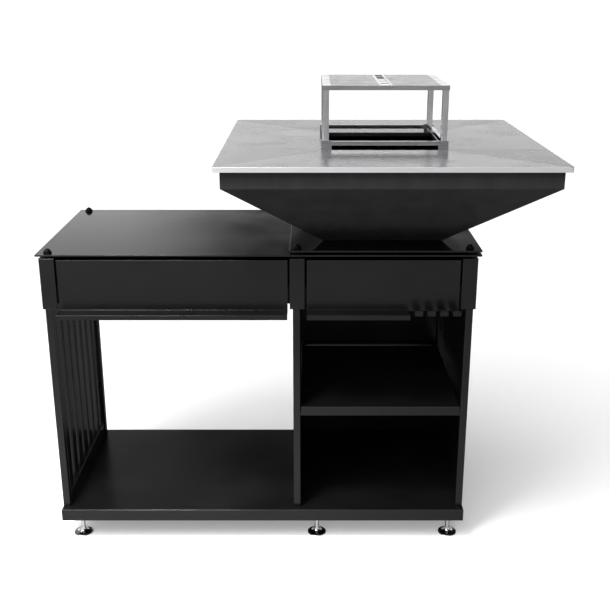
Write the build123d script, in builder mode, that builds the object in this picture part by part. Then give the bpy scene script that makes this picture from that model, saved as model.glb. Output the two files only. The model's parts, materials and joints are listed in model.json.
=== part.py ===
"""Fire bowl griddle station: a square griddle plate over an inverted-pyramid fire bowl,
with a lift-off grill stand, on a sheet steel cabinet with a worktop, two drawers,
an open wood bay, a shelved cabinet and six levelling feet.

Millimetres. The origin is on the floor below the middle of the whole object.
+X is to the right, +Y is to the back and +Z is up.
"""
from build123d import *
import math
import os

os.makedirs("parts", exist_ok=True)

# ---------------------------------------------------------------- driving dimensions
overall_width = 1255.0

# Griddle plate
griddle_side = 800.0
griddle_thick = 12.0
griddle_top = 1030.0
griddle_dish = 2.5
griddle_opening = 300.0
griddle_corner = 6.0

# Fire bowl
bowl_inset = 15.0
bowl_band = 40.0
bowl_sheet = 3.0
bowl_flange = 25.0
bowl_base = 300.0

# Grill stand
stand_side = 307.0
stand_top = 1183.0
stand_sheet = 1.5
stand_fold = 11.5
stand_leg = 15.0
stand_leg_wall = 1.5
stand_foot_side = 311.0
stand_foot_leg = 25.0
stand_foot_top = 1051.0
stand_rail_top = 1049.0
stand_rail = 10.0
stand_margin = 20.0
window_width = 19.0
window_length = 52.0
window_pitch = 59.0
window_count = 5
slot_width = 5.0
slot_pitch = 12.5
slot_rows = 24
slot_bridge = 6.0

# Worktop and the plate that carries the bowl
worktop_width = 1092.0
worktop_depth = 500.0
worktop_top = 788.0
worktop_thick = 4.0
bowl_plate_width = 470.0
bowl_plate_top = 799.0
plate_corner = 3.0
stud_radius = 4.0
stud_hole = 4.5
stud_reach = 8.0
stud_back = 20.0
spacer_radius = 10.0
nut_flange_radius = 10.5
nut_flange_thick = 2.0
nut_hex = 17.0
nut_hex_height = 3.5
nut_height = 11.5
nut_bore = 4.05

# Cabinet frame
front_y = -250.0
carcass_back = 216.0
frame_inset = 15.0
front_post = 18.0
rear_post = 22.0
tube_wall = 2.0
tube_corner = 1.5
beam_width = 37.5
beam_inset = 9.0
beam_bottom = 648.5
beam_top = 778.5
middle_post_left = 1.5
centre_beam_left = -6.0
panel_sheet = 2.0

# Base pan and levelling feet
pan_inset = 13.0
pan_front = -267.0
pan_top = 93.0
pan_height = 32.0
foot_inset = 45.0
foot_disc_radius = 25.0
foot_stem_radius = 5.0
foot_thread_gap = 0.05
foot_stem_top = 90.5
bush_radius = 11.0
bush_bottom = 66.0
lock_nut_hex = 17.0
lock_nut_height = 7.0

# Slatted side
slat_count = 7
slat_width = 34.0
slat_gap = 27.0
slat_thick = 12.0
side_rail_height = 36.0

# Shelf
shelf_top = 384.0
shelf_front_fold = 24.0
shelf_side_fold = 15.0
shelf_gap = 2.0
shelf_depth = 440.0
bracket_length = 14.0
bracket_reach = 12.0

# Drawers
drawer_gap = 5.0
drawer_front_top = 775.0
ledge_top = 647.0
ledge_reach = 43.0
lip_drop = 12.0
hook_rise = 11.0
hook_width = 20.0
hook_gap = 11.0
hook_count = 4
sheet_edge = 0.6
drawer_sheet = 1.5
drawer_bottom = 660.0
drawer_height = 100.0
drawer_depth = 430.0
runner_gap = 13.0
runner_centre = 683.0
runner_length = 420.0
runner_front = -240.0
runner_sheet = 1.2

# ---------------------------------------------------------------- derived places
griddle_x = overall_width / 2 - griddle_side / 2
griddle_bottom = griddle_top - griddle_thick
worktop_left = -overall_width / 2
worktop_right = worktop_left + worktop_width
frame_left = worktop_left + frame_inset
frame_right = worktop_right - frame_inset
pan_left = worktop_left + pan_inset
pan_right = worktop_right - pan_inset
pan_bottom = pan_top - pan_height
left_beam_left = worktop_left + beam_inset
right_beam_left = worktop_right - beam_inset - beam_width
beam_lefts = {"left_beam": left_beam_left, "centre_beam": centre_beam_left, "right_beam": right_beam_left}
left_bay = (left_beam_left + beam_width, centre_beam_left)
right_bay = (centre_beam_left + beam_width, right_beam_left)
bowl_plate_left = worktop_right - bowl_plate_width
dish_slope = griddle_dish / (griddle_side - griddle_opening)
stand_floor = griddle_top - dish_slope * (griddle_side - stand_foot_side)


def block(x, y, z, mode=Mode.ADD):
    """A box between a low and a high value along each axis."""
    with Locations(((x[0] + x[1]) / 2, (y[0] + y[1]) / 2, (z[0] + z[1]) / 2)):
        Box(x[1] - x[0], y[1] - y[0], z[1] - z[0], mode=mode)


def inside(span, wall):
    """The span left between two walls."""
    return (span[0] + wall, span[1] - wall)


def save(piece, name):
    """Label a finished piece and write it to its own file."""
    piece.part.label = name
    export_step(piece.part, f"parts/{name}.step")


# ---------------------------------------------------------------- base
def make_base_pan():
    """Folded tray, open below, that carries every post."""
    x = (pan_left, pan_right)
    y = (pan_front, carcass_back)
    with BuildPart() as base_pan:
        block(x, y, (pan_bottom, pan_top))
        fillet(base_pan.faces().sort_by(Axis.Z)[-1].edges(), radius=tube_corner)
        under = (pan_bottom, pan_top - panel_sheet)
        block(inside(x, panel_sheet), inside(y, panel_sheet), under, Mode.SUBTRACT)
    save(base_pan, "base_pan")


foot_columns = {"left": pan_left + 43.0, "middle": 63.0, "right": pan_right - 34.0}
foot_rows = {"front": pan_front + foot_inset, "rear": carcass_back - foot_inset}
foot_places = [(x, y) for y in foot_rows.values() for x in foot_columns.values()]


def make_foot(name, x, y):
    """A levelling foot: a round pad that flares down from a plain shank, and a screwed stem."""
    rim_height = 2.5
    flare = (12.0, 6.0)
    shank_radius = 5.5
    shank_bottom = 17.0
    shank_top = 50.0
    with BuildPart() as foot:
        with BuildSketch(Plane((x, y, 0), x_dir=(1, 0, 0), z_dir=(0, -1, 0))):
            with BuildLine():
                Line((0, 0), (foot_disc_radius - 0.5, 0))
                Line((foot_disc_radius - 0.5, 0), (foot_disc_radius, 0.5))
                Line((foot_disc_radius, 0.5), (foot_disc_radius, rim_height))
                ThreePointArc((foot_disc_radius, rim_height), flare, (shank_radius, shank_bottom))
                Line((shank_radius, shank_bottom), (shank_radius, shank_top))
                Line((shank_radius, shank_top), (foot_stem_radius, shank_top))
                Line((foot_stem_radius, shank_top), (foot_stem_radius, foot_stem_top))
                Line((foot_stem_radius, foot_stem_top), (0, foot_stem_top))
                Line((0, foot_stem_top), (0, 0))
            make_face()
        revolve(axis=Axis((x, y, 0), (0, 0, 1)))
    save(foot, name)


def make_foot_hardware():
    """Threaded bushes under the pan, and the lock nuts below them."""
    bore = foot_stem_radius + foot_thread_gap
    with BuildPart() as foot_bushes:
        with BuildSketch(Plane.XY.offset(bush_bottom)):
            with Locations(*foot_places):
                Circle(bush_radius)
                Circle(bore, mode=Mode.SUBTRACT)
        extrude(amount=pan_top - panel_sheet - bush_bottom)
    save(foot_bushes, "foot_bushes")
    with BuildPart() as foot_lock_nuts:
        with BuildSketch(Plane.XY.offset(bush_bottom - lock_nut_height)):
            with Locations(*foot_places):
                RegularPolygon(lock_nut_hex / 2, 6, major_radius=False)
                Circle(bore, mode=Mode.SUBTRACT)
        extrude(amount=lock_nut_height)
    save(foot_lock_nuts, "foot_lock_nuts")


# ---------------------------------------------------------------- cabinet frame
def make_tube(name, x, y, z):
    """An upright or level box-section tube, hollow along its longest side."""
    spans = (x, y, z)
    lengths = [span[1] - span[0] for span in spans]
    along = lengths.index(max(lengths))
    bore = [span if i == along else inside(span, tube_wall) for i, span in enumerate(spans)]
    axis = (Axis.X, Axis.Y, Axis.Z)[along]
    with BuildPart() as tube:
        block(x, y, z)
        fillet(tube.edges().filter_by(axis), radius=tube_corner)
        block(*bore, mode=Mode.SUBTRACT)
    save(tube, name)


def make_posts():
    """Six uprights: slim at the front, wider at the back."""
    rows = {"front": (front_post, (front_y, front_y + front_post))}
    rows["rear"] = (rear_post, (carcass_back - rear_post, carcass_back))
    z = (pan_top, beam_bottom)
    for row, (size, y) in rows.items():
        make_tube(f"left_{row}_post", (frame_left, frame_left + size), y, z)
        make_tube(f"middle_{row}_post", (middle_post_left, middle_post_left + size), y, z)
        make_tube(f"right_{row}_post", (frame_right - size, frame_right), y, z)


def make_slatted_side():
    """Top and bottom rails with upright slats between them."""
    x = (frame_left, frame_left + front_post)
    y = (front_y + front_post, carcass_back - rear_post)
    low = (pan_top, pan_top + side_rail_height)
    high = (beam_bottom - side_rail_height, beam_bottom)
    make_tube("left_bottom_rail", x, y, low)
    make_tube("left_top_rail", x, y, high)
    slats_depth = slat_count * slat_width + (slat_count - 1) * slat_gap
    first = (y[0] + y[1] - slats_depth) / 2
    slat_x = inside(x, (front_post - slat_thick) / 2)
    for i in range(slat_count):
        start = first + i * (slat_width + slat_gap)
        make_tube(f"left_slat_{i + 1}", slat_x, (start, start + slat_width), (low[1], high[0]))


def make_panel(name, x, y, z):
    """A plain sheet between its limits."""
    with BuildPart() as panel:
        block(x, y, z)
    save(panel, name)


def make_panels():
    """Divider, right side and back of the closed cabinet."""
    y = (front_y + front_post, carcass_back - rear_post)
    z = (pan_top, beam_bottom)
    divider = middle_post_left + front_post
    make_panel("middle_panel", (divider - panel_sheet, divider), y, z)
    make_panel("right_panel", (frame_right - panel_sheet, frame_right), y, z)
    back_x = (middle_post_left + rear_post, frame_right - rear_post)
    make_panel("back_panel", back_x, (carcass_back - panel_sheet, carcass_back), z)


def make_shelf():
    """Folded shelf, with a deep front edge, on four brackets."""
    x = (middle_post_left + front_post + shelf_gap, frame_right - front_post - shelf_gap)
    y = (front_y, front_y + shelf_depth)
    side_bottom = shelf_top - shelf_side_fold
    with BuildPart() as shelf:
        block(x, y, (side_bottom, shelf_top))
        block(x, (y[0], y[0] + panel_sheet), (shelf_top - shelf_front_fold, shelf_top))
        fillet(shelf.faces().sort_by(Axis.Z)[-1].edges(), radius=tube_corner)
        under = (side_bottom, shelf_top - panel_sheet)
        block(inside(x, panel_sheet), inside(y, panel_sheet), under, Mode.SUBTRACT)
    save(shelf, "shelf")
    with BuildPart() as shelf_brackets:
        posts = (middle_post_left + front_post, frame_right - front_post)
        front_rest = (front_y + panel_sheet + 1, front_y + panel_sheet + 1 + bracket_length)
        rear_rest = (y[1] - bracket_length, carcass_back - rear_post)
        for rest, shift in ((front_rest, 0.0), (rear_rest, rear_post - front_post)):
            for post, way in ((posts[0] + shift, 1), (posts[1] - shift, -1)):
                tip = sorted((post, post + way * bracket_reach))
                leg = sorted((post, post + way * panel_sheet))
                block(tip, rest, (side_bottom - panel_sheet, side_bottom))
                block(leg, rest, (side_bottom - bracket_reach, side_bottom))
    save(shelf_brackets, "shelf_brackets")


def make_beams():
    """Three deep box beams under the worktop, closed at the front, and the aprons behind."""
    y = (front_y, front_y + worktop_depth)
    z = (beam_bottom, beam_top)
    for name, left in beam_lefts.items():
        x = (left, left + beam_width)
        with BuildPart() as beam:
            block(x, y, z)
            fillet(beam.faces().sort_by(Axis.Y)[0].edges(), radius=tube_corner)
            block(inside(x, tube_wall), (y[0] + tube_wall, y[1]), inside(z, tube_wall), Mode.SUBTRACT)
        save(beam, name)
    apron_y = (y[1] - panel_sheet, y[1])
    make_panel("left_rear_apron", left_bay, apron_y, z)
    make_panel("right_rear_apron", right_bay, apron_y, z)


# ---------------------------------------------------------------- worktop and fasteners
stud_rows = (front_y + stud_back, front_y + worktop_depth - stud_back)
beam_centres = {name: left + beam_width / 2 for name, left in beam_lefts.items()}
worktop_studs = [(beam_centres["left_beam"], y) for y in stud_rows]
plate_studs = [(beam_centres[name], y) for name in ("centre_beam", "right_beam") for y in stud_rows]


def make_top_sheet(name, left, top, places):
    """A flat sheet with rounded corners and clearance holes for its studs."""
    with BuildPart() as sheet:
        with BuildSketch(Plane.XY.offset(top - worktop_thick)):
            with Locations(((left + worktop_right) / 2, 0)):
                RectangleRounded(worktop_right - left, worktop_depth, plate_corner)
            with Locations(*places):
                Circle(stud_hole, mode=Mode.SUBTRACT)
        extrude(amount=worktop_thick)
        fillet(sheet.faces().sort_by(Axis.Z)[-1].outer_wire().edges(), radius=sheet_edge)
    save(sheet, name)


def make_spacers(name, places, low, high):
    """Round spacers that hold a sheet off what is below it."""
    with BuildPart() as spacers:
        with BuildSketch(Plane.XY.offset(low)):
            with Locations(*places):
                Circle(spacer_radius)
                Circle(stud_hole, mode=Mode.SUBTRACT)
        extrude(amount=high - low)
    save(spacers, name)


def make_fasteners():
    """Studs welded to the beams, and the domed nuts that hold the sheets down."""
    seats = ((worktop_studs, worktop_top), (plate_studs, bowl_plate_top))
    with BuildPart() as studs:
        for places, seat in seats:
            with BuildSketch(Plane.XY.offset(beam_top)):
                with Locations(*places):
                    Circle(stud_radius)
            extrude(amount=seat + stud_reach - beam_top)
    save(studs, "studs")
    with BuildPart() as cap_nuts:
        for places, seat in seats:
            with BuildSketch(Plane.XY.offset(seat)):
                with Locations(*places):
                    Circle(nut_flange_radius)
            extrude(amount=nut_flange_thick)
            with BuildSketch(Plane.XY.offset(seat)):
                with Locations(*places):
                    RegularPolygon(nut_hex / 2, 6, major_radius=False)
            extrude(amount=nut_flange_thick + nut_hex_height)
            dome_radius = nut_hex / 2 - 0.2
            dome_base = seat + nut_height - dome_radius
            with Locations(*[(x, y, dome_base) for x, y in places]):
                Sphere(dome_radius, arc_size1=0, align=(Align.CENTER, Align.CENTER, Align.MIN))
            with BuildSketch(Plane.XY.offset(seat)):
                with Locations(*places):
                    Circle(nut_bore)
            extrude(amount=stud_reach + 0.5, mode=Mode.SUBTRACT)
    save(cap_nuts, "cap_nuts")


# ---------------------------------------------------------------- fire bowl and griddle
def square_at(z, side):
    """A square sketch centred under the griddle at height z."""
    with BuildSketch(Plane((griddle_x, 0, z))) as square:
        Rectangle(side, side)
    return square.sketch


def make_fire_bowl():
    """Inverted pyramid with an upright rim and a flange turned in, of plates mitred at the corners."""
    rim_side = griddle_side - 2 * bowl_inset
    flange_side = rim_side - 2 * bowl_flange
    band_bottom = griddle_bottom - bowl_band
    with BuildPart() as shell:
        loft(sections=[square_at(bowl_plate_top, bowl_base), square_at(band_bottom, rim_side)])
        extrude(square_at(band_bottom, rim_side), amount=bowl_band)
        rim = shell.faces().sort_by(Axis.Z)[-1]
        offset(amount=-bowl_sheet, openings=rim, kind=Kind.INTERSECTION)
        extrude(square_at(griddle_bottom, rim_side), amount=-bowl_sheet)
        extrude(square_at(griddle_bottom, flange_side), amount=-bowl_sheet, mode=Mode.SUBTRACT)
    base_top = bowl_plate_top + bowl_sheet
    slope = math.atan2(band_bottom - bowl_plate_top, (rim_side - bowl_base) / 2)
    inner_fold = band_bottom + bowl_sheet * math.tan((math.pi / 2 - slope) / 2)
    with BuildPart() as base:
        add(shell.part)
        split(bisect_by=Plane.XY.offset(base_top), keep=Keep.BOTTOM)
    with BuildPart() as sides:
        add(shell.part)
        split(bisect_by=Plane.XY.offset(base_top), keep=Keep.TOP)
        for fold in (inner_fold, griddle_bottom - bowl_sheet):
            split(bisect_by=Plane.XY.offset(fold), keep=Keep.BOTH)
        for way in (-1, 1):
            mitre = Plane((griddle_x, 0, 0), x_dir=(0, 0, 1), z_dir=(1, way, 0))
            split(bisect_by=mitre, keep=Keep.BOTH)
    plates = Compound(label="fire_bowl", children=[*base.part.solids(), *sides.part.solids()])
    export_step(plates, "parts/fire_bowl.step")


def make_griddle():
    """Square plate, dished in four flat facets towards its square opening."""
    with BuildPart() as griddle_plate:
        with BuildSketch(Plane((griddle_x, 0, griddle_bottom))):
            RectangleRounded(griddle_side, griddle_side, griddle_corner)
        extrude(amount=griddle_thick)
        opening = square_at(griddle_top - griddle_dish, griddle_opening)
        loft(sections=[opening, square_at(griddle_top, griddle_side)], mode=Mode.SUBTRACT)
        extrude(square_at(griddle_bottom, griddle_opening), amount=griddle_thick, mode=Mode.SUBTRACT)
    save(griddle_plate, "griddle_plate")


# ---------------------------------------------------------------- grill stand
leg_reach = stand_side / 2 - stand_sheet
leg_centre = leg_reach - stand_leg / 2
corners = {"front_left": (-1, -1), "front_right": (1, -1), "rear_left": (-1, 1), "rear_right": (1, 1)}


def make_stand_top():
    """Folded sheet with rows of slots each side of a line of windows."""
    slot_start = window_width / 2 + slot_bridge
    slot_length = stand_side / 2 - stand_margin - slot_start
    slot_centre = slot_start + slot_length / 2
    under = stand_top - stand_fold
    half = stand_side / 2
    with BuildPart() as stand_top_plate:
        with BuildSketch(Plane((griddle_x, 0, under))):
            RectangleRounded(stand_side, stand_side, stand_sheet + 0.5)
        extrude(amount=stand_fold)
        fillet(stand_top_plate.faces().sort_by(Axis.Z)[-1].edges(), radius=sheet_edge)
        hollow = inside((-half, half), stand_sheet)
        hollow_x = (griddle_x + hollow[0], griddle_x + hollow[1])
        block(hollow_x, hollow, (under, stand_top - stand_sheet), Mode.SUBTRACT)
        with BuildSketch(Plane((griddle_x, 0, stand_top))):
            with GridLocations(2 * slot_centre, slot_pitch, 2, slot_rows):
                SlotOverall(slot_length, slot_width)
            with GridLocations(window_pitch, window_pitch, 1, window_count):
                RectangleRounded(window_width, window_length, 1.5)
        extrude(amount=-2 * stand_sheet, mode=Mode.SUBTRACT)
    save(stand_top_plate, "stand_top_plate")


def make_stand_frame():
    """Four legs, the rails between them near the griddle, and the corner feet."""
    for name, (sx, sy) in corners.items():
        x = inside((griddle_x + sx * leg_centre,) * 2, -stand_leg / 2)
        y = inside((sy * leg_centre,) * 2, -stand_leg / 2)
        with BuildPart() as leg:
            block(x, y, (stand_floor, stand_top - stand_sheet))
            fillet(leg.edges().filter_by(Axis.Z), radius=tube_corner)
            bore = (stand_floor, stand_top - stand_sheet)
            block(inside(x, stand_leg_wall), inside(y, stand_leg_wall), bore, Mode.SUBTRACT)
        save(leg, f"stand_leg_{name}")
    rail_z = (stand_rail_top - stand_rail, stand_rail_top)
    run = leg_reach - stand_leg
    with BuildPart() as stand_rails:
        for side in (-1, 1):
            across = sorted((side * leg_reach, side * (leg_reach - stand_rail)))
            block((griddle_x - run, griddle_x + run), across, rail_z)
            block((griddle_x + across[0], griddle_x + across[1]), (-run, run), rail_z)
    save(stand_rails, "stand_rails")
    outer = stand_foot_side / 2
    with BuildPart() as stand_feet:
        for sx, sy in corners.values():
            x = sorted((griddle_x + sx * outer, griddle_x + sx * (outer - stand_foot_leg)))
            y = sorted((sy * outer, sy * (outer - stand_foot_leg)))
            block(x, y, (stand_floor, stand_foot_top))
            x = sorted((griddle_x + sx * leg_reach, griddle_x + sx * (outer - stand_foot_leg)))
            y = sorted((sy * leg_reach, sy * (outer - stand_foot_leg)))
            block(x, y, (stand_floor, stand_foot_top), Mode.SUBTRACT)
    save(stand_feet, "stand_feet")


# ---------------------------------------------------------------- drawers
def folded_profile(x, tip):
    """The drawer front seen from its side: face, ledge and a tip turned up or down by tip."""
    ledge_front = front_y - ledge_reach
    under = ledge_top - panel_sheet
    back = front_y + panel_sheet
    tip_back = ledge_front + panel_sheet
    tip_end = ledge_top + tip
    face = [(back, drawer_front_top), (front_y, drawer_front_top), (front_y, ledge_top)]
    if tip < 0:
        turned = [(ledge_front, ledge_top), (ledge_front, tip_end), (tip_back, tip_end), (tip_back, under)]
    else:
        turned = [(tip_back, ledge_top), (tip_back, tip_end), (ledge_front, tip_end), (ledge_front, under)]
    with BuildSketch(Plane.YZ.offset(x)) as profile:
        with BuildLine():
            FilletPolyline(*face, *turned, (back, under), radius=sheet_edge, close=True)
        make_face()
    return profile.sketch


def make_drawer_front(name, bay, hooks):
    """Folded front whose bottom edge is the pull; with hooks, its right end carries tool hooks."""
    x = inside(bay, drawer_gap)
    hooks_width = hooks * (hook_width + hook_gap)
    lip_end = x[1] - hooks_width
    with BuildPart() as front:
        extrude(folded_profile(x[0], -lip_drop), amount=lip_end - x[0])
        if hooks:
            face_z = (ledge_top - panel_sheet, drawer_front_top)
            block((lip_end, x[1]), (front_y, front_y + panel_sheet), face_z)
            for i in range(hooks):
                start = lip_end + hook_gap + i * (hook_width + hook_gap)
                extrude(folded_profile(start, hook_rise), amount=hook_width)
    save(front, name)


def make_drawer_box(name, bay):
    """Open sheet box behind the front."""
    x = inside(bay, runner_gap)
    y = (front_y + panel_sheet, front_y + panel_sheet + drawer_depth)
    z = (drawer_bottom, drawer_bottom + drawer_height)
    with BuildPart() as box:
        block(x, y, z)
        floor = z[0] + drawer_sheet
        block(inside(x, drawer_sheet), inside(y, drawer_sheet), (floor, z[1]), Mode.SUBTRACT)
    save(box, name)


def make_channel(wall_x, way, web, tips, height):
    """One runner member: a web from web[0] to web[1], with flanges out to tips, from a wall."""
    y = (runner_front, runner_front + runner_length)
    half = height / 2
    web_x = sorted((wall_x + way * web[0], wall_x + way * web[1]))
    flange_x = sorted((wall_x + way * tips[0], wall_x + way * tips[1]))
    block(web_x, y, (runner_centre - half, runner_centre + half))
    block(flange_x, y, (runner_centre + half - runner_sheet, runner_centre + half))
    block(flange_x, y, (runner_centre - half, runner_centre - half + runner_sheet))


def make_runners(side, bay):
    """Telescopic runners, a pair for each drawer: fixed, middle and drawer members."""
    members = {"outer": ((0, runner_sheet), (0, 10.0), 45.0)}
    members["middle"] = ((3.0, 3.0 + runner_sheet), (3.0, 9.5), 36.0)
    members["inner"] = ((runner_gap - runner_sheet, runner_gap), (6.0, runner_gap), 26.0)
    for member, (web, tips, height) in members.items():
        with BuildPart() as runner:
            make_channel(bay[0], 1, web, tips, height)
            make_channel(bay[1], -1, web, tips, height)
        save(runner, f"{side}_runner_{member}")


# ---------------------------------------------------------------- the whole station
make_base_pan()
for row, foot_y in foot_rows.items():
    for column, foot_x in foot_columns.items():
        make_foot(f"foot_{row}_{column}", foot_x, foot_y)
make_foot_hardware()
make_posts()
make_slatted_side()
make_panels()
make_shelf()
make_beams()
make_top_sheet("worktop", worktop_left, worktop_top, worktop_studs + plate_studs)
make_top_sheet("bowl_plate", bowl_plate_left, bowl_plate_top, plate_studs)
make_spacers("worktop_spacers", worktop_studs + plate_studs, beam_top, worktop_top - worktop_thick)
make_spacers("bowl_plate_spacers", plate_studs, worktop_top, bowl_plate_top - worktop_thick)
make_fasteners()
make_fire_bowl()
make_griddle()
make_stand_top()
make_stand_frame()
for side, bay, hooks in (("left", left_bay, 0), ("right", right_bay, hook_count)):
    make_drawer_front(f"{side}_drawer_front", bay, hooks)
    make_drawer_box(f"{side}_drawer_box", bay)
    make_runners(side, bay)
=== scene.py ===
"""Looks of the fire bowl griddle station: finishes, threaded feet, studio and camera.

Metres, in the frame's own axes: +X is to the right, +Y is to the back and +Z is up.
"""
import json
import math

import bmesh
import bpy
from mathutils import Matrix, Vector


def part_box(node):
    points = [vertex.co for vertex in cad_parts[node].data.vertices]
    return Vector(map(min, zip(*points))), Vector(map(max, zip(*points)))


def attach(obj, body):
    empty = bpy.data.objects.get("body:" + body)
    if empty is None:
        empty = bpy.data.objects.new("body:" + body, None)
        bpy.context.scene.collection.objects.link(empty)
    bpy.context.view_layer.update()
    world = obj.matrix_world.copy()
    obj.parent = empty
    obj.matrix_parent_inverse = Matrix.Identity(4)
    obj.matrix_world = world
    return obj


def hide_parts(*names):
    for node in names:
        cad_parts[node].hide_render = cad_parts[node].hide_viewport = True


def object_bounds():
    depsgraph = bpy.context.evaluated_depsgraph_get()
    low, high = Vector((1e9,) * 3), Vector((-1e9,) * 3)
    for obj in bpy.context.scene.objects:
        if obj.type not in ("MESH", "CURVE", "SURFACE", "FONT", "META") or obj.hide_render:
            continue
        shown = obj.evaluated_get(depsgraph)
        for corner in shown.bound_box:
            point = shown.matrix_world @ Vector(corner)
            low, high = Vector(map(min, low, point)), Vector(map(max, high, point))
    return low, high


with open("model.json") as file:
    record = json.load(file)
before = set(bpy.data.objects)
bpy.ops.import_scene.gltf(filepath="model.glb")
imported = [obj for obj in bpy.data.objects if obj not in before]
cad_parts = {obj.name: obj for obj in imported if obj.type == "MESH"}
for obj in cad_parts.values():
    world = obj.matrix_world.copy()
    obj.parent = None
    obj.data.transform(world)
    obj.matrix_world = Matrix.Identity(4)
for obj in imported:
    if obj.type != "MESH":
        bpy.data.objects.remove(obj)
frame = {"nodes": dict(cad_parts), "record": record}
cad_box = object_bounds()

nodes = frame["nodes"]
bodies = frame["record"]["behaviour"]["bodies"]
slot_of = {part["node"]: part["material_slot"] for part in frame["record"]["subparts"]}
node_body = {name: body for body, members in bodies.items() for name in members}

MM = 0.001

griddle_low, griddle_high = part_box("griddle_plate")
griddle_middle = (griddle_low + griddle_high) / 2
half_opening = 150 * MM


# ---------------------------------------------------------------- shader graph
class Graph:
    """A material's node tree, with short calls for the nodes that the finishes share."""

    def __init__(self, name):
        self.material = bpy.data.materials.new(name)
        self.material.use_nodes = True
        self.tree = self.material.node_tree
        self.shader = self.tree.nodes["Principled BSDF"]
        self.place = self.add("ShaderNodeTexCoord").outputs["Object"]

    def add(self, kind, inputs=(), **settings):
        """A new node, with inputs as pairs of a name or index and a value, and its settings by name."""
        made = self.tree.nodes.new(kind)
        for key, value in settings.items():
            setattr(made, key, value)
        for key, value in inputs:
            self.feed(made.inputs[key], value)
        return made

    def feed(self, socket, value):
        """Links an output to a socket, or sets the socket's own value."""
        if isinstance(value, bpy.types.NodeSocket):
            self.tree.links.new(value, socket)
        else:
            socket.default_value = value

    def stretched(self, stretch, turn=(0, 0, 0)):
        """Object coordinates turned, and scaled along each axis."""
        sockets = (("Vector", self.place), ("Rotation", turn), ("Scale", stretch))
        return self.add("ShaderNodeMapping", sockets).outputs["Vector"]

    def noise(self, scale, detail=2.0, vector=None, distortion=0.0, rough=0.5):
        """Noise of a given number of features in a metre."""
        sockets = (("Vector", vector or self.place), ("Scale", scale), ("Detail", detail),
                   ("Roughness", rough), ("Distortion", distortion))
        return self.add("ShaderNodeTexNoise", sockets).outputs["Fac"]

    def span(self, value, low, high, to_low=0.0, to_high=1.0):
        """Maps low to high smoothly onto to_low to to_high, and holds the ends."""
        sockets = (("Value", value), ("From Min", low), ("From Max", high),
                   ("To Min", to_low), ("To Max", to_high))
        return self.add("ShaderNodeMapRange", sockets, interpolation_type="SMOOTHSTEP").outputs["Result"]

    def maths(self, operation, first, second=0.0):
        """One step of arithmetic."""
        return self.add("ShaderNodeMath", ((0, first), (1, second)), operation=operation).outputs["Value"]

    def axes(self, vector=None):
        """The three parts of a vector."""
        made = self.add("ShaderNodeSeparateXYZ", (("Vector", vector or self.place),))
        return made.outputs["X"], made.outputs["Y"], made.outputs["Z"]

    def blend(self, share, first, second):
        """A colour between two, by share."""
        made = self.add("ShaderNodeMix", data_type="RGBA")
        for index, value in ((0, share), (6, grey(first)), (7, grey(second))):
            self.feed(made.inputs[index], value)
        return made.outputs[2]

    def edges(self, radius):
        """1 along sharp edges within the radius, 0 on flat faces; and the softened normal."""
        soft = self.add("ShaderNodeBevel", (("Radius", radius),), samples=4).outputs["Normal"]
        true = self.add("ShaderNodeNewGeometry").outputs["Normal"]
        same = self.add("ShaderNodeVectorMath", ((0, soft), (1, true)), operation="DOT_PRODUCT")
        return self.span(same.outputs["Value"], 0.995, 0.8), soft

    def bump(self, height, depth, normal=None):
        """A bump whose full height is the depth in metres."""
        made = self.add("ShaderNodeBump", (("Height", height), ("Strength", 1.0), ("Distance", depth)))
        if normal is not None:
            self.feed(made.inputs["Normal"], normal)
        return made.outputs["Normal"]

    def finish(self, colour, roughness, normal, metallic=0.0, ior=1.5):
        """Feeds the shader and gives back the material."""
        self.feed(self.shader.inputs["Base Color"], colour)
        self.feed(self.shader.inputs["Roughness"], roughness)
        self.feed(self.shader.inputs["Normal"], normal)
        self.shader.inputs["Metallic"].default_value = metallic
        self.shader.inputs["IOR"].default_value = ior
        return self.material


def grey(value):
    """A number as a grey colour; anything else as it is."""
    return (value, value, value, 1.0) if isinstance(value, float) else value


# ---------------------------------------------------------------- finishes
def powder_coat(name, base, roughness, peel, ior=1.45, radius=0.5 * MM):
    """Black powder coat: orange peel, cloudy sheen and edges rubbed slightly paler."""
    g = Graph(name)
    edge, soft = g.edges(radius)
    cloud = g.noise(7.0, detail=4.0)
    rub = g.maths("MULTIPLY", edge, g.span(g.noise(45.0, detail=3.0), 0.4, 0.75))
    tone = g.blend(g.span(cloud, 0.3, 0.7), base * 0.8, base * 1.3)
    colour = g.blend(g.maths("MULTIPLY", rub, 0.5), tone, base * 5.0)
    sheen = g.span(cloud, 0.3, 0.7, roughness - 0.03, roughness + 0.03)
    sheen = g.maths("ADD", sheen, g.maths("MULTIPLY", rub, 0.08))
    normal = g.bump(g.noise(330.0, detail=2.0), peel, soft)
    normal = g.bump(g.noise(1400.0, detail=1.0), peel * 0.2, normal)
    return g.finish(colour, sheen, normal, ior=ior)


def bowl_coat(name):
    """Heat-resistant black on the bowl: faint streaks outside, soot and ash inside."""
    g = Graph(name)
    edge, soft = g.edges(1.0 * MM)
    up = g.axes(g.add("ShaderNodeNewGeometry").outputs["Normal"])[2]
    inside = g.span(up, 0.1, 0.5)
    streak = g.noise(1.0, detail=3.0, vector=g.stretched((26.0, 26.0, 3.0)))
    ash = g.noise(38.0, detail=6.0, distortion=0.6)
    coat = g.blend(g.span(streak, 0.3, 0.7), 0.031, 0.038)
    soot = g.blend(g.span(ash, 0.45, 0.7), 0.012, 0.05)
    colour = g.blend(inside, coat, soot)
    colour = g.blend(g.maths("MULTIPLY", edge, 0.2), colour, 0.05)
    sheen = g.span(streak, 0.25, 0.75, 0.36, 0.44)
    sheen = g.maths("ADD", sheen, g.maths("MULTIPLY", inside, 0.45))
    height = g.maths("ADD", g.noise(300.0), g.maths("MULTIPLY", inside, ash))
    return g.finish(colour, sheen, g.bump(height, 0.12 * MM, soft), ior=1.2)


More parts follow.
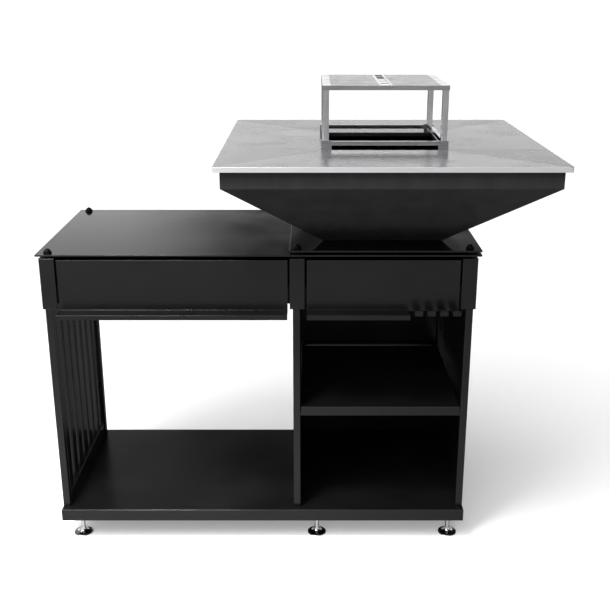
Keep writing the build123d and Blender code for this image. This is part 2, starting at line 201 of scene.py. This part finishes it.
def griddle_steel(name):
    """Bare ground steel: oil stains, slanting wipe marks, painted shade along the creases on its diagonals,
    side faces left rougher and painted paler as a painted highlight, and soot below.
    """
    g = Graph(name)
    edge, soft = g.edges(1.0 * MM)
    cloud = g.noise(8.0, detail=4.0, distortion=0.4, rough=0.5)
    slant = g.stretched((9.0, 60.0, 9.0), turn=(0, 0, math.radians(35)))
    wipe = g.noise(1.0, detail=5.0, vector=slant, rough=0.6)
    grind = g.noise(1.0, detail=2.0, vector=g.stretched((14.0, 1300.0, 14.0)))
    x, y, z = g.axes()
    across = g.maths("ABSOLUTE", g.maths("SUBTRACT", x, griddle_middle.x))
    off = g.maths("ABSOLUTE", g.maths("SUBTRACT", across, g.maths("ABSOLUTE", y)))
    top_face = g.span(z, griddle_low.z + 8 * MM, griddle_low.z + 9 * MM)
    crease = g.maths("MULTIPLY", g.span(off, 2.2 * MM, 0.2 * MM), top_face)
    crease = g.maths("MULTIPLY", crease, g.span(cloud, 0.35, 0.6, 0.35, 1.0))
    stain = g.maths("MULTIPLY", g.span(cloud, 0.30, 0.72), 0.7)
    stain = g.maths("ADD", stain, g.maths("MULTIPLY", g.span(wipe, 0.36, 0.76), 0.3))
    colour = g.blend(stain, (0.71, 0.713, 0.73, 1), (0.79, 0.793, 0.81, 1))
    # painted shade: the creases on the diagonals are drawn dark where the facets meet
    colour = g.blend(g.maths("MULTIPLY", crease, 0.6), colour, (0.30, 0.305, 0.31, 1))
    colour = g.blend(g.maths("MULTIPLY", edge, 0.3), colour, (0.8, 0.8, 0.81, 1))
    reach = g.maths("MAXIMUM", across, g.maths("ABSOLUTE", y))
    up = g.axes(g.add("ShaderNodeNewGeometry").outputs["Normal"])[2]
    side = g.span(up, 0.9, 0.4)
    wall = g.span(reach, half_opening + 3 * MM, half_opening + 0.5 * MM)
    soot = g.maths("MULTIPLY", wall, side)
    # painted highlight: the side faces are painted paler than the top, over their rougher cut finish
    colour = g.blend(side, colour, (0.93, 0.93, 0.94, 1))
    under = g.span(up, -0.3, -0.7)
    soot = g.maths("MAXIMUM", soot, g.maths("MULTIPLY", under, g.span(cloud, 0.3, 0.6, 0.9, 1.0)))
    colour = g.blend(g.maths("MULTIPLY", soot, 0.97), colour, 0.02)
    sheen = g.span(stain, 0.0, 1.0, 0.25, 0.29)
    sheen = g.maths("ADD", sheen, g.maths("MULTIPLY", crease, 0.15))
    sheen = g.maths("ADD", sheen, g.maths("MULTIPLY", side, 0.22))
    height = g.maths("ADD", grind, g.maths("MULTIPLY", crease, -2.0))
    return g.finish(colour, sheen, g.bump(height, 0.02 * MM, soft), metallic=1.0)


def brushed_steel(name, stretch, tone, radius):
    """Stainless brushed along one direction, with soft handling marks."""
    g = Graph(name)
    edge, soft = g.edges(radius)
    brush = g.noise(1.0, detail=3.0, vector=g.stretched(stretch), rough=0.65)
    mark = g.noise(30.0, detail=4.0)
    pale, dark = [(tone * share, tone * share, tone * share * 1.03, 1) for share in (1.08, 0.86)]
    colour = g.blend(g.span(brush, 0.3, 0.7), dark, pale)
    colour = g.blend(g.maths("MULTIPLY", edge, 0.35), colour, min(1.0, tone * 1.5))
    sheen = g.maths("ADD", g.span(brush, 0.25, 0.75, 0.11, 0.18), g.span(mark, 0.4, 0.7, 0.0, 0.05))
    return g.finish(colour, sheen, g.bump(brush, 0.02 * MM, soft), metallic=1.0)


def bright_plate(name):
    """Polished plating, lightly smudged."""
    g = Graph(name)
    soft = g.edges(0.5 * MM)[1]
    smudge = g.noise(160.0, detail=4.0)
    colour = g.blend(g.span(smudge, 0.35, 0.7), (0.78, 0.78, 0.80, 1), (0.66, 0.66, 0.68, 1))
    sheen = g.span(smudge, 0.35, 0.75, 0.09, 0.2)
    return g.finish(colour, sheen, g.bump(g.noise(900.0), 0.01 * MM, soft), metallic=1.0)


def zinc(name):
    """Bright zinc plating: small pale crystals in a cool grey."""
    g = Graph(name)
    soft = g.edges(0.5 * MM)[1]
    crystal = g.add("ShaderNodeTexVoronoi", (("Vector", g.place), ("Scale", 330.0))).outputs["Color"]
    share = g.axes(crystal)[0]
    colour = g.blend(share, (0.52, 0.55, 0.58, 1), (0.70, 0.72, 0.74, 1))
    sheen = g.span(share, 0.0, 1.0, 0.26, 0.40)
    return g.finish(colour, sheen, g.bump(g.noise(700.0), 0.02 * MM, soft), metallic=1.0)


def gloss_black(name):
    """Black on the cap nuts and spacers, over faint turning marks."""
    g = Graph(name)
    edge, soft = g.edges(0.5 * MM)
    turned = g.noise(1.0, vector=g.stretched((200.0, 200.0, 2600.0)))
    colour = g.blend(g.maths("MULTIPLY", edge, 0.3), 0.002, 0.012)
    sheen = g.span(turned, 0.3, 0.7, 0.36, 0.46)
    return g.finish(colour, sheen, g.bump(turned, 0.008 * MM, soft), ior=1.18)


def dip_coat(name):
    """Thin black dip coat on the runners: runs along their length and rubbed where the balls pass."""
    g = Graph(name)
    edge, soft = g.edges(0.4 * MM)
    run = g.noise(1.0, detail=3.0, vector=g.stretched((160.0, 9.0, 160.0)))
    colour = g.blend(g.span(run, 0.35, 0.7), 0.003, 0.007)
    colour = g.blend(g.maths("MULTIPLY", edge, 0.4), colour, 0.03)
    sheen = g.span(run, 0.3, 0.7, 0.34, 0.46)
    return g.finish(colour, sheen, g.bump(g.noise(500.0), 0.02 * MM, soft), ior=1.45)


def make_finishes():
    """One material for each finish, by the key that finish_key gives."""
    level = (20.0, 900.0, 900.0)
    upright = (900.0, 900.0, 20.0)
    return {
        "frame_black": powder_coat("frame_powder_coat", 0.0045, 0.24, 0.03 * MM),
        "drawer_black": powder_coat("drawer_powder_coat", 0.0035, 0.30, 0.03 * MM, radius=0.15 * MM),
        "top_black": powder_coat("worktop_powder_coat", 0.0025, 0.13, 0.010 * MM, ior=1.5),
        "runner_black": dip_coat("runner_dip_coat"),
        "bowl_black": bowl_coat("bowl_heat_coat"),
        "griddle_steel": griddle_steel("griddle_ground_steel"),
        # one brushed steel in three tones: the legs painted paler and the rails and feet painted darker, as
        # painted light and shade
        "stand_steel": brushed_steel("stand_brushed_level", level, 0.51, 0.08 * MM),
        "stand_upright_painted_lit": brushed_steel("stand_brushed_upright_painted_lit", upright, 0.72, 0.3 * MM),
        "stand_low_painted_shade": brushed_steel("stand_brushed_low_painted_shade", level, 0.36, 0.3 * MM),
        "foot_chrome": bright_plate("foot_bright_plate"),
        "zinc_plated": zinc("bright_zinc"),
        "nut_black": gloss_black("gloss_black_nut"),
    }


def finish_key(name):
    """A node's finish: its slot in the record, apart from the stand's legs, painted paler, and the frame at
    their feet, painted darker: painted light and shade on one brushed steel.
    """
    if name.startswith("stand_leg"):
        return "stand_upright_painted_lit"
    if name in ("stand_rails", "stand_feet"):
        return "stand_low_painted_shade"
    return slot_of[name]


def coat(piece, finish):
    """Gives a piece one finish all over."""
    piece.data.materials.clear()
    piece.data.materials.append(finish)


# ---------------------------------------------------------------- levelling feet
def ring(mesh, centre, radius, z, count):
    """A level ring of points, whose radius is a number or a function of the angle and the height."""
    points = []
    for i in range(count):
        turn = 2 * math.pi * i / count
        reach = radius(turn, z) if callable(radius) else radius
        x = centre.x + reach * math.cos(turn)
        y = centre.y + reach * math.sin(turn)
        points.append(mesh.verts.new((x, y, z)))
    return points


def skin(mesh, rings):
    """Faces between neighbouring rings, and caps on the first and last."""
    for low, high in zip(rings, rings[1:]):
        for i in range(len(low)):
            j = (i + 1) % len(low)
            mesh.faces.new((low[i], low[j], high[j], high[i]))
    mesh.faces.new(list(reversed(rings[0])))
    mesh.faces.new(rings[-1])


def thread_radius(crest, depth, pitch):
    """The radius of a V thread at an angle and a height."""
    def radius(turn, z):
        phase = (z / pitch - turn / (2 * math.pi)) % 1.0
        return crest - depth * abs(2 * phase - 1)
    return radius


def make_foot(name, finish):
    """A foot in place of its CAD node: a flared pad with a rim groove, a plain shank and a threaded stem."""
    low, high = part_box(name)
    centre = (low + high) / 2
    pad = (high.x - low.x) / 2
    rim = 2.5 * MM
    cone = pad - 3.4 * MM
    cone_steps = 10
    shank = 5.5 * MM
    shank_bottom = 17 * MM
    shank_top = 50 * MM
    stem = 5 * MM
    pitch = 1.5 * MM
    thread_depth = 0.8 * MM
    mesh = bmesh.new()
    lathe = [(pad - MM, 0), (pad - 0.3 * MM, 0.2 * MM), (pad, 0.6 * MM), (pad, rim - 0.5 * MM),
             (pad - 0.5 * MM, rim), (pad - 2 * MM, rim), (pad - 2.6 * MM, rim - 0.5 * MM),
             (cone, rim - 0.2 * MM)]
    for step in range(1, cone_steps + 1):
        share = step / cone_steps
        reach = shank + (cone - shank) * (1 - share) ** 1.9
        lathe.append((reach, rim - 0.2 * MM + (shank_bottom - rim) * share ** 1.7))
    lathe += [(shank, shank_top - 0.6 * MM), (shank - 0.4 * MM, shank_top)]
    skin(mesh, [ring(mesh, centre, reach, z, 64) for reach, z in lathe])
    rows = round((high.z - shank_top) / (pitch / 4))
    heights = [shank_top - MM + (high.z - shank_top + MM) * i / rows for i in range(rows + 1)]
    crest = thread_radius(stem, thread_depth, pitch)
    skin(mesh, [ring(mesh, centre, crest, z, 24) for z in heights])
    data = bpy.data.meshes.new(f"{name}_threaded")
    mesh.to_mesh(data)
    mesh.free()
    data.shade_smooth()
    data.set_sharp_from_angle(angle=math.radians(32))
    foot = bpy.data.objects.new(f"{name}_threaded", data)
    bpy.context.scene.collection.objects.link(foot)
    coat(foot, finish)
    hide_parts(name)
    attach(foot, node_body[name])


# ---------------------------------------------------------------- studio
def make_floor():
    """A plain pale floor out to the horizon, which the gloss blacks mirror more dimly than it looks."""
    reach = 2000.0
    data = bpy.data.meshes.new("floor")
    corners = [(-reach, -reach, 0), (reach, -reach, 0), (reach, reach, 0), (-reach, reach, 0)]
    data.from_pydata(corners, [], [(0, 1, 2, 3)])
    floor = bpy.data.objects.new("floor", data)
    bpy.context.scene.collection.objects.link(floor)
    g = Graph("studio_floor")
    seen = g.add("ShaderNodeLightPath").outputs["Is Camera Ray"]
    pale = g.blend(g.span(g.noise(0.8, detail=2.0), 0.3, 0.7), 0.9, 0.92)
    # painted shadow: as the gloss blacks mirror it, the floor is darker behind the object than in front
    mirrored_with_painted_shadow = g.blend(g.span(g.axes()[1], cad_box[0].y / 2, cad_box[1].y), 0.38, 0.10)
    g.shader.inputs["Emission Color"].default_value = (1, 1, 1, 1)
    g.feed(g.shader.inputs["Emission Strength"], g.maths("MULTIPLY", seen, 0.28))
    coat(floor, g.finish(g.blend(seen, mirrored_with_painted_shadow, pale), 0.9, g.bump(g.noise(60.0), 0.05 * MM)))


def sky_span(tree, value, low_high, to_low_high):
    """Maps part of a direction smoothly onto a range of light."""
    made = tree.nodes.new("ShaderNodeMapRange")
    made.interpolation_type = "SMOOTHSTEP"
    tree.links.new(value, made.inputs["Value"])
    for name, number in zip(("From Min", "From Max", "To Min", "To Max"), (*low_high, *to_low_high)):
        made.inputs[name].default_value = number
    return made.outputs["Result"]


def dimmed(tree, level, first, second):
    """Lowers a level of light by the product of two shares."""
    both = tree.nodes.new("ShaderNodeMath")
    both.operation = "MULTIPLY"
    tree.links.new(first, both.inputs[0])
    tree.links.new(second, both.inputs[1])
    left = tree.nodes.new("ShaderNodeMath")
    left.operation = "SUBTRACT"
    left.inputs[0].default_value = 1.0
    tree.links.new(both.outputs["Value"], left.inputs[1])
    rest = tree.nodes.new("ShaderNodeMath")
    rest.operation = "MULTIPLY"
    tree.links.new(level, rest.inputs[0])
    tree.links.new(left.outputs["Value"], rest.inputs[1])
    return rest.outputs["Value"]


def make_sky():
    """Soft surroundings: bright low down and dim above, shaded high on the right and low behind."""
    world = bpy.data.worlds.new("studio")
    bpy.context.scene.world = world
    world.use_nodes = True
    tree = world.node_tree
    background = tree.nodes["Background"]
    direction = tree.nodes.new("ShaderNodeTexCoord")
    split = tree.nodes.new("ShaderNodeSeparateXYZ")
    tree.links.new(direction.outputs["Generated"], split.inputs["Vector"])
    ramp = tree.nodes.new("ShaderNodeValToRGB")
    tree.links.new(split.outputs["Z"], ramp.inputs["Fac"])
    by_elevation = ((0, 1.0), (10, 1.0), (12, 0.72), (16, 0.42),
                    (21, 0.2), (30, 0.115), (60, 0.21), (90, 0.43))
    stops = ramp.color_ramp.elements
    stops.remove(stops[1])
    for index, (elevation, share) in enumerate(by_elevation):
        stop = stops[0] if index == 0 else stops.new(math.sin(math.radians(elevation)))
        stop.position = math.sin(math.radians(elevation))
        stop.color = (share, share, share, 1)
    front = sky_span(tree, split.outputs["Y"], (-0.9, -0.2), (1.05, 1.4))
    over_bowl = sky_span(tree, split.outputs["X"], (-0.21, -0.04), (0.0, 0.97))
    raised = sky_span(tree, split.outputs["Z"], (0.175, 0.205), (0.0, 1.0))
    behind = sky_span(tree, split.outputs["Y"], (0.3, 0.7), (0.0, 0.8))
    low = sky_span(tree, split.outputs["Z"], (0.08, 0.02), (0.0, 1.0))
    level = dimmed(tree, dimmed(tree, front, over_bowl, raised), behind, low)
    tree.links.new(ramp.outputs["Color"], background.inputs["Color"])
    tree.links.new(level, background.inputs["Strength"])


def aim(lamp, target):
    """Turns a lamp to face a point."""
    lamp.rotation_euler = (Vector(target) - lamp.location).to_track_quat("-Z", "Y").to_euler()


def make_lamp(name, kind, place, target, power, **settings):
    """A soft lamp that faces a point."""
    data = bpy.data.lights.new(name, kind)
    data.energy = power
    for key, value in settings.items():
        setattr(data, key, value)
    lamp = bpy.data.objects.new(name, data)
    lamp.location = place
    bpy.context.scene.collection.objects.link(lamp)
    aim(lamp, target)


def make_lights():
    """A wide overhead light, a soft box in front on the left, and a pool of light on the floor there."""
    middle = (cad_box[0] + cad_box[1]) / 2
    wood_bay = (-0.35, -0.5, 0.2)
    floor_before_bay = (-0.45, -0.6, 0.0)
    make_lamp("overhead", "SUN", (-1.5, -2.0, 5.0), middle, 2.6, angle=math.radians(70))
    make_lamp("key_softbox", "AREA", (-1.9, -1.9, 2.8), wood_bay, 60.0, shape="SQUARE", size=1.6)
    make_lamp("floor_pool", "SPOT", (-0.8, -1.3, 3.0), floor_before_bay, 520.0,
              spot_size=math.radians(42), spot_blend=1.0, shadow_soft_size=0.3)


def make_camera():
    """The view: level, square to the front and looking a little down."""
    place = (0.0424, -2.4614, 1.4002)
    degrees_down = 18.502
    data = bpy.data.cameras.new("view")
    data.sensor_width = 36.0
    data.lens = 55.57
    data.shift_x = -0.0069
    camera = bpy.data.objects.new("view", data)
    camera.location = place
    camera.rotation_euler = (math.radians(90 - degrees_down), 0, 0)
    bpy.context.scene.collection.objects.link(camera)
    bpy.context.scene.camera = camera
    bpy.context.scene.view_settings.view_transform = "Standard"


# ---------------------------------------------------------------- the whole scene
finishes = make_finishes()
for name, piece in nodes.items():
    coat(piece, finishes[finish_key(name)])
    if name.startswith(("foot_front", "foot_rear")):
        make_foot(name, finishes["foot_chrome"])
make_floor()
make_sky()
make_lights()
make_camera()
